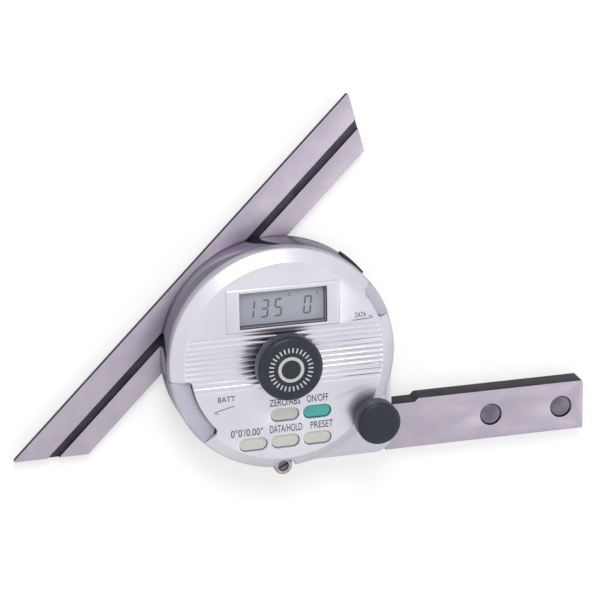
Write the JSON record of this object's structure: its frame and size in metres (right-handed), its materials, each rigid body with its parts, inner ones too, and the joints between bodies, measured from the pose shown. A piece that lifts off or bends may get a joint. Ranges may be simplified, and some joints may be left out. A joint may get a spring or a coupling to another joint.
{
  "type": "digital bevel protractor",
  "caption": "A digital bevel protractor: a round silver case on a fixed stock, with a long grooved blade that turns and slides, an angle display, a clamp knob, a fine drive knob and keys.",
  "frame": {"origin": "where the turning axis of the blade turret meets the plane of the stock's back face", "axes": "+Z out of the display, +X along the stock away from the case, +Y up on the display"},
  "size_m": [0.1812, 0.1149, 0.0268],
  "materials": {
    "satin_case": "satin",
    "satin_cover": "satin",
    "window_glass": "polished",
    "lcd_face": "matte",
    "black_rubber": "matte",
    "board_green": "matte",
    "plain_steel": "brushed",
    "spring_brass": "polished",
    "socket_black": "matte",
    "bush_brass": "satin",
    "ground_steel": "satin",
    "dark_steel": "satin",
    "bright_steel": "polished",
    "turned_steel": "brushed",
    "washer_white": "matte",
    "black_knob": "satin",
    "cream_key": "satin",
    "green_key": "satin",
    "grey_lid": "matte"
  },
  "bodies": {
    "root": {"case": "satin_case", "front_cover": "satin_cover", "display_window": "window_glass", "lcd_panel": "lcd_face", "lcd_connector": "black_rubber", "circuit_board": "board_green", "key_domes": "plain_steel", "battery_contacts": "spring_brass", "data_connector": "socket_black", "encoder_stator": "board_green", "spindle_bush": "bush_brass", "fine_drive_bush": "bush_brass", "stock": "ground_steel", "stock_plugs": "dark_steel", "stock_screws": "dark_steel", "cover_screws": "dark_steel", "accessory_bush": "bright_steel", "accessory_screw": "dark_steel"},
    "turret": {"turret_plate": "turned_steel", "ring_gear": "bush_brass", "encoder_rotor": "board_green", "spindle": "plain_steel", "thrust_washer": "washer_white", "guide_key": "plain_steel", "clamp_plate": "turned_steel"},
    "blade": {"blade": "ground_steel"},
    "blade_clamp": {"blade_clamp_screw": "dark_steel"},
    "clamp_knob": {"clamp_knob": "black_knob"},
    "fine_drive": {"fine_knob": "black_knob", "pinion": "plain_steel"},
    "key_units": {"key_units": "cream_key"},
    "key_hold": {"key_hold": "cream_key"},
    "key_preset": {"key_preset": "cream_key"},
    "key_zero": {"key_zero": "cream_key"},
    "key_power": {"key_power": "green_key"},
    "battery_drawer": {"battery_drawer": "grey_lid", "battery": "bright_steel"},
    "data_port_cover": {"data_port_cover": "grey_lid"},
    "port_plug": {"port_plug": "black_rubber"}
  },
  "joints": [
    {"name": "turret_turn", "type": "hinge", "parent": "root", "child": "turret", "pos_m": [0, 0, 0.006], "axis": [0, 0, 1], "range_deg": [-75, 90]},
    {"name": "blade_slide", "type": "slide", "parent": "turret", "child": "blade", "axis": [0.7071, 0.7071, 0], "range_m": [-0.035, 0.035]},
    {"name": "blade_clamp_turn", "type": "hinge", "parent": "turret", "child": "blade_clamp", "pos_m": [-0.00933, 0.00933, 0.001], "axis": [0, 0, 1], "range_deg": [0, 90]},
    {"name": "clamp_knob_turn", "type": "hinge", "parent": "root", "child": "clamp_knob", "pos_m": [0, 0, 0.024], "axis": [0, 0, 1], "range_deg": [0, 180]},
    {"name": "fine_turn", "type": "hinge", "parent": "root", "child": "fine_drive", "pos_m": [0.02755, -0.02076, 0.015], "axis": [0, 0, 1], "range_deg": [-800, 670]},
    {"name": "key_units_press", "type": "slide", "parent": "root", "child": "key_units", "axis": [0, 0, -1], "range_m": [0, 0.0005], "stiffness_N_per_m": 800},
    {"name": "key_hold_press", "type": "slide", "parent": "root", "child": "key_hold", "axis": [0, 0, -1], "range_m": [0, 0.0005], "stiffness_N_per_m": 800},
    {"name": "key_preset_press", "type": "slide", "parent": "root", "child": "key_preset", "axis": [0, 0, -1], "range_m": [0, 0.0005], "stiffness_N_per_m": 800},
    {"name": "key_zero_press", "type": "slide", "parent": "root", "child": "key_zero", "axis": [0, 0, -1], "range_m": [0, 0.0005], "stiffness_N_per_m": 800},
    {"name": "key_power_press", "type": "slide", "parent": "root", "child": "key_power", "axis": [0, 0, -1], "range_m": [0, 0.0005], "stiffness_N_per_m": 800},
    {"name": "battery_drawer_slide", "type": "slide", "parent": "root", "child": "battery_drawer", "axis": [-0.9033, -0.4289, 0], "range_m": [0, 0.026]},
    {"name": "data_port_cover_slide", "type": "slide", "parent": "root", "child": "data_port_cover", "axis": [0.878, 0.4787, 0], "range_m": [0, 0.006]},
    {"name": "port_plug_slide", "type": "slide", "parent": "root", "child": "port_plug", "axis": [0.6947, 0.7193, 0], "range_m": [0, 0.004]}
  ],
  "couplings": [
    {"joint": "fine_turn", "follows": "turret_turn", "ratio": -8.8571}
  ]
}
